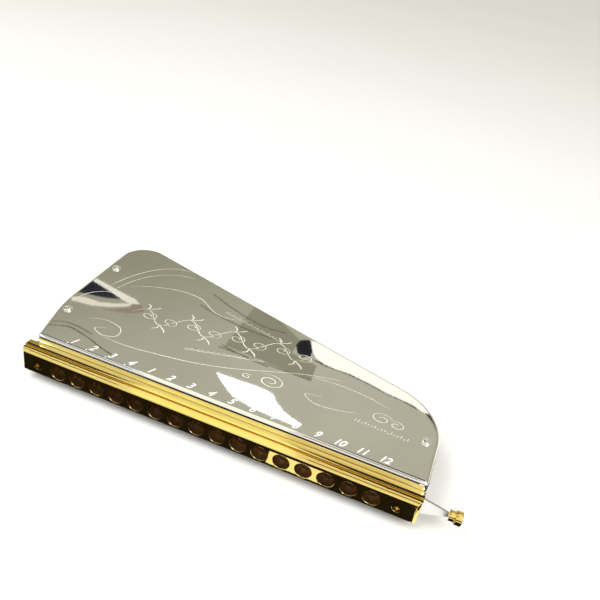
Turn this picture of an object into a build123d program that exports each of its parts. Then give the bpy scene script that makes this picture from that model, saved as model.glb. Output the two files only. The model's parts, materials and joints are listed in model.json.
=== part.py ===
"""Sixteen-hole slide chromatic harmonica with tandem (tremolo) reeds, built piece by piece.

X runs along the row of holes, low notes at -X and the slide button at +X.
Y runs from the player (-Y) to the back of the covers.  Z is up.
The origin lies on the flat underside of the bottom cover, below the middle of the hole row.
All sizes are in millimetres.
"""
import os
from math import atan, degrees, sqrt

from build123d import *

# ---- Row of holes --------------------------------------------------------------------
HOLE_COUNT = 16
HOLE_PITCH = 10.0
MOUTH_HOLE_DIAMETER = 7.6

# ---- Plan outline of covers, reed plates and comb ------------------------------------
RIGHT_MARGIN = 20.0          # last hole centre to the right-hand end
LEFT_FRONT_MARGIN = 16.5     # first hole centre to the front left corner
LEFT_KNEE_MARGIN = 23.6      # first hole centre to the knee in the left-hand side
LEFT_REAR_MARGIN = 25.7      # first hole centre to the rear left corner
KNEE_Y = 22.0
REAR_Y = 68.8                # rear edge, at the middle of the hole row
REAR_SLOPE = 0.285           # rear edge comes forward by this much per unit of X
FRONT_CORNER_RADIUS = 2.0
KNEE_RADIUS = 80.0
REAR_LEFT_RADIUS = 14.0
REAR_RIGHT_RADIUS = 30.0

# ---- Stack of plates, measured up and down from the middle plane ---------------------
HEIGHT = 22.0
COMB_THICKNESS = 10.4
PLATE_THICKNESS = 1.05
COVER_SHEET = 0.8
COVER_EDGE_RADIUS = 2.5
SOUND_OPENING_LENGTH = 120.0 # opening along the rear wall of each cover
SOUND_OPENING_X = -5.0       # middle of that opening
PLATE_INSET = 0.3            # reed plates and comb stand this far inside the covers
FRONT_STRIP = 3.0            # front edge of plates and comb that reaches the mouthpiece
COMB_WEB = 1.2               # floor between the upper and lower chambers

# ---- Front assembly, measured forward from the comb's front face ---------------------
COMB_FRONT_Y = -6.0
COVER_GAP = 0.1              # covers stop this far behind the mouthpiece
BACK_PLATE_SHEET = 0.5
SLIDE_SHEET = 1.0
SLIDE_CLEARANCE = 0.05       # each side of the slide, in thickness and in height
HOUSING_SHEET = 0.35
MOUTHPIECE_DEPTH = 7.5
MOUTHPIECE_HEIGHT = 13.6
MOUTHPIECE_END_RADIUS = 3.0
LIP_DEPTH = 3.2              # rounded lip in front of the groove
LIP_STEP = 0.5               # lip's top stands this far below the flat top
LIP_RADIUS = 2.8
GROOVE_WIDTH = 0.5
GROOVE_DEPTH = 1.0
HOLE_RIM_CHAMFER = 0.45

# ---- Slide ---------------------------------------------------------------------------
SLIDE_TRAVEL = 5.0
SLIDE_HEIGHT = 10.0
WINDOW_WIDTH = 4.4
WINDOW_HEIGHT = 2.6
WINDOW_INNER = 0.5           # middle plane to the near edge of each window
CHANNEL_END_WALL = 2.0       # mouthpiece wall left at each end of the channel
SLIDE_END_GAP = 0.5          # slide's left-hand end to the channel's end, when pressed
NECK_START = 3.0             # slide narrows this far inside the channel's right-hand end
NECK_HEIGHT = 8.6
TIP_HEIGHT = 2.0
LEVER_LENGTH = 11.2          # right-hand end of the mouthpiece to the button
LEVER_RISE = 0.8             # button stands this far above the middle plane
TIP_IN_BUTTON = 2.2
BUTTON_BODY_DIAMETER = 4.6
BUTTON_CAP_DIAMETER = 6.0
BUTTON_BODY_LENGTH = 2.7
BUTTON_CAP_LENGTH = 2.9
BUTTON_EDGE = 0.7

# ---- Comb chambers and reeds ---------------------------------------------------------
CHAMBER_WIDTH = 8.0
CHAMBER_FRONT_WALL = 3.0
CHAMBER_REAR_WALL = 9.0
COMB_WINDOW_WIDTH = 7.0
COMB_WINDOW_HEIGHT = 3.4
REED_MARGIN = 2.0            # before, between and behind the two reeds of a chamber
REED_PAIR_OFFSET = 1.95      # blow and draw slots lie this far each side of the hole
LOW_REED_WIDTH = 2.9
HIGH_REED_WIDTH = 2.1
REED_SIDE_GAP = 0.05
REED_PAD_LENGTH = 4.0
REED_PAD_THICKNESS = 0.35
REED_TIP_THICKNESS = 0.15
REED_TIP_GAP = 0.2
VALVE_SHEET = 0.15
VALVE_OVERLAP = 0.35

# ---- Fasteners and spring ------------------------------------------------------------
FIT_GAP = 0.05               # radial clearance of screws in their holes
COVER_SCREW_RADIUS = 1.25
COVER_HEAD_RADIUS = 2.3
COVER_HEAD_HEIGHT = 1.1
COVER_HEAD_RIM = 0.3         # straight rim below the head's dome
COVER_HEAD_SHOULDER = 0.93   # dome's height half way out
BOSS_RADIUS = 2.7
NUT_RADIUS = 1.9
NUT_HEIGHT = 3.2
RIGHT_SCREW_INSET = 6.0      # cover screws: distance in from the right-hand end
LEFT_SCREW_INSET = 5.3       # and from the left-hand side
FRONT_SCREW_Y = 18.0
REAR_SCREW_Y = 63.0
MOUTH_SCREW_RADIUS = 1.0
MOUTH_SCREW_HEAD_RADIUS = 2.1
MOUTH_SCREW_LENGTH = 12.0
MOUTH_SCREW_END = 9.0        # mouthpiece screw to the end of the mouthpiece
BUMPER_RADIUS = 1.6
PLATE_SCREW_RADIUS = 0.8
PLATE_SCREW_HEAD_RADIUS = 1.5
PLATE_SCREW_HEAD_HEIGHT = 0.7
PLATE_SCREW_DEPTH = 3.6
PLATE_SCREW_LEFT_YS = [2.0, 37.0, 75.0]
PLATE_SCREW_RIGHT_YS = [2.0, 31.0]
REAR_SCREW_SPREAD = 45.0     # the two outer rear screws lie this far from the middle
RECESS_SLOT = 0.55           # width of the driver slots and crosses
RECESS_SPAN = 2.6            # tip to tip of the crosses in the cover screws
MOUTH_SCREW_SUNK = 0.05      # mouthpiece screws' heads below the front face
MOUTH_HEAD_DEPTH = 1.0
MOUTH_HEAD_TAPER = 40.0      # degrees
MOUTH_RECESS_DEPTH = 0.8
SINK_DEPTH = 1.2             # countersinks for the mouthpiece screws
SINK_TAPER = 38.0            # degrees
SPRING_WIRE_RADIUS = 0.35
SPRING_BEND_RADIUS = 3.5
SPRING_LEG = 3.0             # straight leg above the bend
SPRING_END = 9.8             # centre of the spring's bend to the end of the mouthpiece
HOOK_BEND_RADIUS = 0.8
HOOK_GAP = 0.1               # hook's end to the slide's front face
POCKET_DEPTH = 2.4
POCKET_CLEARANCE = 1.0       # round the spring
POCKET_CORNER = 1.5

# ---- Places worked out from the sizes above ------------------------------------------
MID = HEIGHT / 2
HALF_ROW = HOLE_PITCH * (HOLE_COUNT - 1) / 2
HALF_LENGTH = HALF_ROW + RIGHT_MARGIN
HOLE_X = [i * HOLE_PITCH - HALF_ROW for i in range(HOLE_COUNT)]
HALF_COMB = COMB_THICKNESS / 2
PLATE_OUTER = HALF_COMB + PLATE_THICKNESS
COVER_RISE = MID - PLATE_OUTER
BACK_PLATE_FRONT_Y = COMB_FRONT_Y - BACK_PLATE_SHEET
SLIDE_BACK_Y = BACK_PLATE_FRONT_Y - SLIDE_CLEARANCE
SLIDE_FRONT_Y = SLIDE_BACK_Y - SLIDE_SHEET
SLIDE_MID_Y = (SLIDE_BACK_Y + SLIDE_FRONT_Y) / 2
WEB_BACK_Y = SLIDE_FRONT_Y - SLIDE_CLEARANCE
WEB_FRONT_Y = WEB_BACK_Y - HOUSING_SHEET
MOUTH_FRONT_Y = COMB_FRONT_Y - MOUTHPIECE_DEPTH
CHANNEL_HALF = SLIDE_HEIGHT / 2 + SLIDE_CLEARANCE
HOUSING_HALF = CHANNEL_HALF + HOUSING_SHEET
CHANNEL_END = HALF_LENGTH - CHANNEL_END_WALL
WINDOW_MID = WINDOW_INNER + WINDOW_HEIGHT / 2
MOUTH_SCREW_X = HALF_LENGTH - MOUTH_SCREW_END
SPRING_X = SPRING_END - HALF_LENGTH
SPRING_TIP_X = SPRING_X + SPRING_BEND_RADIUS
SPRING_Y = COMB_FRONT_Y + POCKET_DEPTH / 2
POCKET_SIDE = 2 * (SPRING_BEND_RADIUS + POCKET_CLEARANCE)


def rear_y(x):
    """Y of the straight rear edge of the outline at x."""
    return REAR_Y - REAR_SLOPE * x


def left_x(y):
    """X of the left-hand side of the outline, which has a knee at KNEE_Y."""
    knee_x = -HALF_ROW - LEFT_KNEE_MARGIN
    far_x = -HALF_ROW - (LEFT_FRONT_MARGIN if y < KNEE_Y else LEFT_REAR_MARGIN)
    far_y = COMB_FRONT_Y + COVER_GAP if y < KNEE_Y else rear_y(far_x)
    return knee_x + (far_x - knee_x) * (y - KNEE_Y) / (far_y - KNEE_Y)


COVER_SCREW_SPOTS = [
    (left_x(FRONT_SCREW_Y) + LEFT_SCREW_INSET, FRONT_SCREW_Y),
    (left_x(REAR_SCREW_Y) + LEFT_SCREW_INSET, REAR_SCREW_Y),
    (HALF_LENGTH - RIGHT_SCREW_INSET, FRONT_SCREW_Y),
]
END_X = HALF_ROW + (RIGHT_MARGIN + CHAMBER_WIDTH / 2) / 2
REAR_SCREW_XS = [-REAR_SCREW_SPREAD, 0, REAR_SCREW_SPREAD]
PLATE_SCREW_SPOTS = [
    *[(-END_X, y) for y in PLATE_SCREW_LEFT_YS],
    *[(END_X, y) for y in PLATE_SCREW_RIGHT_YS],
    *[(x, rear_y(x) - CHAMBER_REAR_WALL / 2) for x in REAR_SCREW_XS],
]


def plan_outline(inset):
    """Plan outline of the instrument's body, moved inward by inset."""
    front = COMB_FRONT_Y + COVER_GAP
    corners = [
        (-HALF_ROW - LEFT_FRONT_MARGIN, front),
        (-HALF_ROW - LEFT_KNEE_MARGIN, KNEE_Y),
        (-HALF_ROW - LEFT_REAR_MARGIN, rear_y(-HALF_ROW - LEFT_REAR_MARGIN)),
        (HALF_LENGTH, rear_y(HALF_LENGTH)),
        (HALF_LENGTH, front),
    ]
    radii = [FRONT_CORNER_RADIUS, KNEE_RADIUS, REAR_LEFT_RADIUS, REAR_RIGHT_RADIUS, FRONT_CORNER_RADIUS]
    with BuildSketch() as plan:
        with BuildLine():
            Polyline(*corners, close=True)
        make_face()
        for corner, radius in zip(corners, radii):
            vertex = plan.vertices().sort_by_distance((*corner, 0))[0]
            fillet(vertex, radius=radius)
        if inset > 0:
            offset(amount=-inset)
    return plan.sketch


COVER_PLAN = plan_outline(0)
with BuildSketch() as plate_plan:
    add(plan_outline(PLATE_INSET))
    # front strip that meets the back of the mouthpiece
    with Locations((LEFT_FRONT_MARGIN / 2 - RIGHT_MARGIN / 2, COMB_FRONT_Y + FRONT_STRIP / 2)):
        Rectangle(2 * HALF_ROW + LEFT_FRONT_MARGIN + RIGHT_MARGIN - 2 * FRONT_STRIP, FRONT_STRIP)
PLATE_PLAN = plate_plan.sketch


def finish(piece, name):
    """Label a piece and write it as its own STEP file."""
    piece.part.label = name
    export_step(piece.part, f"parts/{name}.step")


def row_windows(shift, side):
    """Slide windows of one row on the current XZ sketch; side is +1 above and -1 below."""
    with Locations(*[(x + shift, MID + side * WINDOW_MID) for x in HOLE_X]):
        Rectangle(WINDOW_WIDTH, WINDOW_HEIGHT)


def facing_front(y):
    """Sketch plane at y whose X is the model's X, whose Y is the model's Z, facing -Y."""
    return Plane(origin=(0, y, 0), x_dir=(1, 0, 0), z_dir=(0, -1, 0))


os.makedirs("parts", exist_ok=True)

# ---- Comb ----------------------------------------------------------------------------
CHAMBER_FRONT_Y = COMB_FRONT_Y + CHAMBER_FRONT_WALL


def chamber_end(x):
    """Y of the rear end of the chamber at x."""
    return rear_y(x) - CHAMBER_REAR_WALL


def chamber_plan():
    """Sixteen chambers in plan, longer towards the low notes."""
    for x in HOLE_X:
        length = chamber_end(x) - CHAMBER_FRONT_Y
        with Locations((x, CHAMBER_FRONT_Y + length / 2)):
            Rectangle(CHAMBER_WIDTH, length)


with BuildPart() as comb:
    with BuildSketch(Plane.XY.offset(MID - HALF_COMB)):
        add(PLATE_PLAN)
    extrude(amount=COMB_THICKNESS)
    # posts that carry the covers and locate the reed plates
    with BuildSketch(Plane.XY.offset(MID - HALF_COMB - PLATE_THICKNESS - COVER_RISE + COVER_SHEET)):
        with Locations(*COVER_SCREW_SPOTS):
            Circle(BOSS_RADIUS)
    extrude(amount=HEIGHT - 2 * COVER_SHEET)
    for side in (1, -1):
        with BuildSketch(Plane.XY.offset(MID + side * COMB_WEB / 2)):
            chamber_plan()
        extrude(amount=side * (HALF_COMB - COMB_WEB / 2), mode=Mode.SUBTRACT)
        with BuildSketch(facing_front(COMB_FRONT_Y)):
            with Locations(*[(x, MID + side * (COMB_WEB + COMB_WINDOW_HEIGHT) / 2) for x in HOLE_X]):
                Rectangle(COMB_WINDOW_WIDTH, COMB_WINDOW_HEIGHT)
        extrude(amount=-CHAMBER_FRONT_WALL - 1, mode=Mode.SUBTRACT)
        with BuildSketch(Plane.XY.offset(MID + side * HALF_COMB)):
            with Locations(*PLATE_SCREW_SPOTS):
                Circle(PLATE_SCREW_RADIUS + FIT_GAP)
        extrude(amount=-side * PLATE_SCREW_DEPTH, mode=Mode.SUBTRACT)
    # through holes for the cover screws, wider at the bottom for the nuts
    with BuildSketch(Plane.XY):
        with Locations(*COVER_SCREW_SPOTS):
            Circle(COVER_SCREW_RADIUS + FIT_GAP)
    extrude(amount=HEIGHT, mode=Mode.SUBTRACT)
    with BuildSketch(Plane.XY):
        with Locations(*COVER_SCREW_SPOTS):
            Circle(NUT_RADIUS + FIT_GAP)
    extrude(amount=NUT_HEIGHT, mode=Mode.SUBTRACT)
    # pocket for the slide spring, and holes for the mouthpiece screws
    with BuildSketch(facing_front(COMB_FRONT_Y)):
        with Locations((SPRING_X, MID)):
            RectangleRounded(POCKET_SIDE, POCKET_SIDE, POCKET_CORNER)
    extrude(amount=-POCKET_DEPTH, mode=Mode.SUBTRACT)
    with BuildSketch(facing_front(COMB_FRONT_Y)):
        with Locations((-MOUTH_SCREW_X, MID), (MOUTH_SCREW_X, MID)):
            Circle(MOUTH_SCREW_RADIUS + FIT_GAP)
    extrude(amount=-MOUTH_SCREW_LENGTH, mode=Mode.SUBTRACT)
finish(comb, "comb")


# ---- Reeds, valves and reed plates ---------------------------------------------------
def reed_width(x):
    """Reed width at x, narrower towards the high notes."""
    return LOW_REED_WIDTH + (HIGH_REED_WIDTH - LOW_REED_WIDTH) * (x + HALF_ROW) / (2 * HALF_ROW)


def reed_spans(x):
    """Front and rear reed of the chamber at x, each as (start, end) along Y."""
    start = CHAMBER_FRONT_Y + REED_MARGIN
    length = (chamber_end(x) - CHAMBER_FRONT_Y - 3 * REED_MARGIN) / 2
    return [(start, start + length), (start + length + REED_MARGIN, start + 2 * length + REED_MARGIN)]


def slot_span(span, kind):
    """Part of a reed's span that is cut through: draw pads are at the front, blow pads behind."""
    start, end = span
    if kind == "draw":
        return start + REED_PAD_LENGTH, end + REED_TIP_GAP
    return start - REED_TIP_GAP, end - REED_PAD_LENGTH


def reed_x(x, kind):
    """X of a blow or draw reed's centre in the chamber at x."""
    return x + REED_PAIR_OFFSET if kind == "draw" else x - REED_PAIR_OFFSET


def reed_profile(span, kind, face_z, away):
    """Side view of one reed: thick welded pad, then a tongue that thins towards its raised tip."""
    pad, tip = (span[0], span[1]) if kind == "draw" else (span[1], span[0])
    heel = pad + REED_PAD_LENGTH if kind == "draw" else pad - REED_PAD_LENGTH
    return [
        (pad, face_z),
        (heel, face_z),
        (tip, face_z + away * REED_TIP_GAP),
        (tip, face_z + away * (REED_TIP_GAP + REED_TIP_THICKNESS)),
        (heel, face_z + away * REED_PAD_THICKNESS),
        (pad, face_z + away * REED_PAD_THICKNESS),
    ]


def make_reeds(name, kind, face_z, away):
    """All the blow or draw reeds of one plate, front and rear, as separate solids."""
    with BuildPart() as reeds:
        for x in HOLE_X:
            width = reed_width(x) - 2 * REED_SIDE_GAP
            for span in reed_spans(x):
                with BuildSketch(Plane.YZ.offset(reed_x(x, kind) - width / 2)):
                    with BuildLine():
                        Polyline(*reed_profile(span, kind, face_z, away), close=True)
                    make_face()
                extrude(amount=width)
    finish(reeds, name)


def make_valves(name, kind, face_z, away):
    """Thin flap valves over the slots of one kind of reed, on the face opposite the reeds."""
    with BuildPart() as valves:
        with BuildSketch(Plane.XY.offset(face_z)):
            for x in HOLE_X:
                for span in reed_spans(x):
                    start, end = slot_span(span, kind)
                    with Locations((reed_x(x, kind), (start + end) / 2)):
                        Rectangle(reed_width(x) + 2 * VALVE_OVERLAP, end - start + 4 * VALVE_OVERLAP)
        extrude(amount=away * VALVE_SHEET)
    finish(valves, name)


def make_plate(name, side):
    """One reed plate with its slots, post holes and screw holes."""
    with BuildPart() as plate:
        with BuildSketch(Plane.XY.offset(MID + side * HALF_COMB)):
            add(PLATE_PLAN)
            with Locations(*COVER_SCREW_SPOTS):
                Circle(BOSS_RADIUS + FIT_GAP, mode=Mode.SUBTRACT)
            with Locations(*PLATE_SCREW_SPOTS):
                Circle(PLATE_SCREW_RADIUS + FIT_GAP, mode=Mode.SUBTRACT)
            for x in HOLE_X:
                for span in reed_spans(x):
                    for kind in ("draw", "blow"):
                        start, end = slot_span(span, kind)
                        with Locations((reed_x(x, kind), (start + end) / 2)):
                            Rectangle(reed_width(x), end - start, mode=Mode.SUBTRACT)
        extrude(amount=side * PLATE_THICKNESS)
    finish(plate, name)


def make_plate_screws(name, side):
    """Small pan-head screws that hold one reed plate to the comb."""
    with BuildPart() as screws:
        with BuildSketch(Plane.XY.offset(MID + side * PLATE_OUTER)):
            with Locations(*PLATE_SCREW_SPOTS):
                Circle(PLATE_SCREW_HEAD_RADIUS)
        extrude(amount=side * PLATE_SCREW_HEAD_HEIGHT)
        with BuildSketch(Plane.XY.offset(MID + side * (PLATE_OUTER + PLATE_SCREW_HEAD_HEIGHT))):
            with Locations(*PLATE_SCREW_SPOTS):
                Rectangle(2 * PLATE_SCREW_HEAD_RADIUS, RECESS_SLOT)
        extrude(amount=-side * PLATE_SCREW_HEAD_HEIGHT / 2, mode=Mode.SUBTRACT)
        with BuildSketch(Plane.XY.offset(MID + side * PLATE_OUTER)):
            with Locations(*PLATE_SCREW_SPOTS):
                Circle(PLATE_SCREW_RADIUS)
        extrude(amount=-side * (PLATE_THICKNESS + PLATE_SCREW_DEPTH - FIT_GAP))
    finish(screws, name)


for level, side in (("upper", 1), ("lower", -1)):
    outer_z = MID + side * PLATE_OUTER
    inner_z = MID + side * HALF_COMB
    make_plate(f"{level}_reed_plate", side)
    make_plate_screws(f"{level}_plate_screws", side)
    make_reeds(f"{level}_draw_reeds", "draw", outer_z, side)
    make_reeds(f"{level}_blow_reeds", "blow", inner_z, -side)
    make_valves(f"{level}_draw_valves", "draw", inner_z, -side)
    make_valves(f"{level}_blow_valves", "blow", outer_z, side)


# ---- Covers --------------------------------------------------------------------------
SOUND_OPENING_HEIGHT = COVER_RISE - COVER_EDGE_RADIUS
REAR_ANGLE = degrees(atan(REAR_SLOPE))
REAR_CENTRE = (SOUND_OPENING_X, rear_y(SOUND_OPENING_X))


def make_cover(name, side, hole_radius):
    """One cover: a shallow tray with rolled edges, open along the middle of its rear wall."""
    with BuildPart() as cover:
        with BuildSketch(Plane.XY.offset(MID + side * PLATE_OUTER)):
            add(COVER_PLAN)
        extrude(amount=side * COVER_RISE)
        fillet(cover.faces().sort_by(Axis.Z)[-1 if side > 0 else 0].edges(), radius=COVER_EDGE_RADIUS)
        offset(
            amount=-COVER_SHEET,
            openings=cover.faces().filter_by(Plane.XY).sort_by(Axis.Z)[0 if side > 0 else -1],
        )
        with BuildSketch(Plane.XY.offset(MID + side * MID)):
            with Locations(*COVER_SCREW_SPOTS):
                Circle(hole_radius)
        extrude(amount=-side * 2 * COVER_SHEET, mode=Mode.SUBTRACT)
        with BuildSketch(Plane.XY.offset(MID + side * PLATE_OUTER)):
            with Locations(Location((*REAR_CENTRE, 0), (0, 0, -REAR_ANGLE))):
                Rectangle(SOUND_OPENING_LENGTH, 3 * COVER_SHEET)
        extrude(amount=side * SOUND_OPENING_HEIGHT, mode=Mode.SUBTRACT)
    finish(cover, name)


make_cover("top_cover", 1, COVER_SCREW_RADIUS + FIT_GAP)
make_cover("bottom_cover", -1, NUT_RADIUS + FIT_GAP)

# ---- Cover screws and nuts -----------------------------------------------------------
with BuildPart() as one_screw:
    with BuildSketch(Plane.XZ):
        with BuildLine():
            Line((0, 0), (COVER_HEAD_RADIUS, 0))
            Line((COVER_HEAD_RADIUS, 0), (COVER_HEAD_RADIUS, COVER_HEAD_RIM))
            ThreePointArc(
                (COVER_HEAD_RADIUS, COVER_HEAD_RIM),
                (COVER_HEAD_RADIUS / 2, COVER_HEAD_SHOULDER),
                (0, COVER_HEAD_HEIGHT),
            )
            Line((0, COVER_HEAD_HEIGHT), (0, 0))
        make_face()
    revolve(axis=Axis.Z)
    with BuildSketch(Plane.XY.offset(COVER_HEAD_RIM)):
        Rectangle(RECESS_SPAN, RECESS_SLOT)
        Rectangle(RECESS_SLOT, RECESS_SPAN)
    extrude(amount=COVER_HEAD_HEIGHT, mode=Mode.SUBTRACT)
    with BuildSketch(Plane.XY):
        Circle(COVER_SCREW_RADIUS)
    extrude(amount=COVER_SHEET - HEIGHT)

with BuildPart() as cover_screws:
    with Locations(*[(x, y, HEIGHT) for x, y in COVER_SCREW_SPOTS]):
        add(one_screw.part)
finish(cover_screws, "cover_screws")

with BuildPart() as cover_nuts:
    with BuildSketch(Plane.XY):
        with Locations(*COVER_SCREW_SPOTS):
            Circle(NUT_RADIUS)
            Circle(COVER_SCREW_RADIUS + FIT_GAP, mode=Mode.SUBTRACT)
    extrude(amount=NUT_HEIGHT)
finish(cover_nuts, "cover_nuts")

# ---- Slide back plate and slide housing ----------------------------------------------
with BuildPart() as back_plate:
    with BuildSketch(facing_front(COMB_FRONT_Y)):
        with Locations((0, MID)):
            Rectangle(2 * CHANNEL_END, 2 * CHANNEL_HALF)
        with Locations((-MOUTH_SCREW_X, MID), (MOUTH_SCREW_X, MID)):
            Circle(MOUTH_SCREW_RADIUS + FIT_GAP, mode=Mode.SUBTRACT)
        with Locations((SPRING_TIP_X - SLIDE_TRAVEL / 2, MID + SPRING_LEG)):
            SlotOverall(
                SLIDE_TRAVEL + 2 * SPRING_WIRE_RADIUS + 4 * FIT_GAP,
                2 * SPRING_WIRE_RADIUS + 4 * FIT_GAP,
                mode=Mode.SUBTRACT,
            )
    extrude(amount=BACK_PLATE_SHEET)
    with BuildSketch(facing_front(COMB_FRONT_Y)):
        row_windows(0, 1)
        row_windows(0, -1)
    extrude(amount=BACK_PLATE_SHEET, mode=Mode.SUBTRACT)
finish(back_plate, "slide_back_plate")

with BuildPart() as housing:
    with BuildSketch(facing_front(COMB_FRONT_Y)):
        with Locations((0, MID)):
            Rectangle(2 * CHANNEL_END, 2 * HOUSING_HALF)
    extrude(amount=COMB_FRONT_Y - WEB_FRONT_Y)
    with BuildSketch(facing_front(COMB_FRONT_Y)):
        with Locations((0, MID)):
            Rectangle(2 * CHANNEL_END, 2 * CHANNEL_HALF)
    extrude(amount=COMB_FRONT_Y - WEB_BACK_Y, mode=Mode.SUBTRACT)
    with BuildSketch(facing_front(WEB_BACK_Y)):
        row_windows(0, 1)
        row_windows(0, -1)
        with Locations((-MOUTH_SCREW_X, MID), (MOUTH_SCREW_X, MID)):
            Circle(BUMPER_RADIUS + FIT_GAP)
    extrude(amount=HOUSING_SHEET, mode=Mode.SUBTRACT)
finish(housing, "slide_housing")

# ---- Slide ---------------------------------------------------------------------------
SLIDE_LEFT_X = SLIDE_TRAVEL + SLIDE_END_GAP - CHANNEL_END
NECK_X = CHANNEL_END - NECK_START
TIP_X = HALF_LENGTH + LEVER_LENGTH
BUTTON_Z = MID + LEVER_RISE
SLOT_RADIUS = BUMPER_RADIUS + FIT_GAP

with BuildPart() as slide:
    with BuildSketch(facing_front(SLIDE_BACK_Y)):
        with BuildLine():
            Polyline(
                (SLIDE_LEFT_X, MID - SLIDE_HEIGHT / 2),
                (NECK_X, MID - SLIDE_HEIGHT / 2),
                (NECK_X, MID - NECK_HEIGHT / 2),
                (HALF_LENGTH, MID - NECK_HEIGHT / 2),
                (TIP_X, BUTTON_Z - TIP_HEIGHT / 2),
                (TIP_X + TIP_IN_BUTTON, BUTTON_Z - TIP_HEIGHT / 2),
                (TIP_X + TIP_IN_BUTTON, BUTTON_Z + TIP_HEIGHT / 2),
                (TIP_X, BUTTON_Z + TIP_HEIGHT / 2),
                (HALF_LENGTH, MID + NECK_HEIGHT / 2),
                (NECK_X, MID + NECK_HEIGHT / 2),
                (NECK_X, MID + SLIDE_HEIGHT / 2),
                (SLIDE_LEFT_X, MID + SLIDE_HEIGHT / 2),
                close=True,
            )
        make_face()
        # slot that meets the bumper at both ends of the travel
        with Locations((MOUTH_SCREW_X + SLIDE_TRAVEL / 2, MID)):
            SlotOverall(SLIDE_TRAVEL + 2 * SLOT_RADIUS, 2 * SLOT_RADIUS, mode=Mode.SUBTRACT)
        # open fork that passes the left-hand screw
        with Locations((-MOUTH_SCREW_X + SLIDE_TRAVEL / 2, MID)):
            SlotOverall(SLIDE_TRAVEL + 2 * SLOT_RADIUS, 2 * SLOT_RADIUS, mode=Mode.SUBTRACT)
        with Locations((-MOUTH_SCREW_X - SLOT_RADIUS, MID)):
            Rectangle(2 * SLOT_RADIUS, 2 * SLOT_RADIUS, mode=Mode.SUBTRACT)
        with Locations((SPRING_TIP_X, MID + SPRING_LEG)):
            Circle(SPRING_WIRE_RADIUS + FIT_GAP, mode=Mode.SUBTRACT)
    extrude(amount=SLIDE_SHEET)
    with BuildSketch(facing_front(SLIDE_BACK_Y)):
        row_windows(0, 1)
        row_windows(SLIDE_TRAVEL, -1)
    extrude(amount=SLIDE_SHEET, mode=Mode.SUBTRACT)
finish(slide, "slide")

with BuildPart() as button:
    with BuildSketch(Plane.XY.offset(BUTTON_Z)):
        with Locations((TIP_X + BUTTON_BODY_LENGTH / 2, SLIDE_MID_Y + BUTTON_BODY_DIAMETER / 4)):
            Rectangle(BUTTON_BODY_LENGTH, BUTTON_BODY_DIAMETER / 2)
        with Locations(
            (TIP_X + BUTTON_BODY_LENGTH + BUTTON_CAP_LENGTH / 2, SLIDE_MID_Y + BUTTON_CAP_DIAMETER / 4)
        ):
            Rectangle(BUTTON_CAP_LENGTH, BUTTON_CAP_DIAMETER / 2)
    revolve(axis=Axis((0, SLIDE_MID_Y, BUTTON_Z), (1, 0, 0)))
    fillet(button.edges().filter_by(GeomType.CIRCLE).sort_by(Axis.X)[-1], radius=BUTTON_EDGE)
    with BuildSketch(facing_front(SLIDE_BACK_Y)):
        with Locations((TIP_X + TIP_IN_BUTTON / 2, BUTTON_Z)):
            Rectangle(TIP_IN_BUTTON, TIP_HEIGHT)
    extrude(amount=SLIDE_SHEET, mode=Mode.SUBTRACT)
finish(button, "slide_button")

# ---- Slide spring and bumper ---------------------------------------------------------
with BuildPart() as spring:
    with BuildLine() as wire:
        left = SPRING_X - SPRING_BEND_RADIUS
        top = MID + SPRING_LEG
        foot = Line((left, SPRING_Y, top), (left, SPRING_Y, MID))
        bend = ThreePointArc(
            (left, SPRING_Y, MID),
            (SPRING_X, SPRING_Y, MID - SPRING_BEND_RADIUS),
            (SPRING_TIP_X, SPRING_Y, MID),
        )
        hook_centre_y = SPRING_Y - HOOK_BEND_RADIUS
        hook_centre_z = top - HOOK_BEND_RADIUS
        diagonal = HOOK_BEND_RADIUS / sqrt(2)
        leg = Line((SPRING_TIP_X, SPRING_Y, MID), (SPRING_TIP_X, SPRING_Y, hook_centre_z))
        knee = ThreePointArc(
            (SPRING_TIP_X, SPRING_Y, hook_centre_z),
            (SPRING_TIP_X, hook_centre_y + diagonal, hook_centre_z + diagonal),
            (SPRING_TIP_X, hook_centre_y, top),
        )
        hook = Line((SPRING_TIP_X, hook_centre_y, top), (SPRING_TIP_X, SLIDE_FRONT_Y + HOOK_GAP, top))
    with BuildSketch(Plane(origin=foot @ 0, z_dir=foot % 0)):
        Circle(SPRING_WIRE_RADIUS)
    sweep(path=wire.wires()[0])
finish(spring, "slide_spring")

with BuildPart() as bumper:
    with BuildSketch(facing_front(BACK_PLATE_FRONT_Y)):
        with Locations((MOUTH_SCREW_X, MID)):
            Circle(BUMPER_RADIUS)
            Circle(MOUTH_SCREW_RADIUS + FIT_GAP / 2, mode=Mode.SUBTRACT)
    extrude(amount=BACK_PLATE_FRONT_Y - WEB_FRONT_Y)
finish(bumper, "slide_bumper")

# ---- Mouthpiece ----------------------------------------------------------------------
TOP_Z = MOUTHPIECE_HEIGHT / 2
GROOVE_Y = MOUTH_FRONT_Y + LIP_DEPTH

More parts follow.
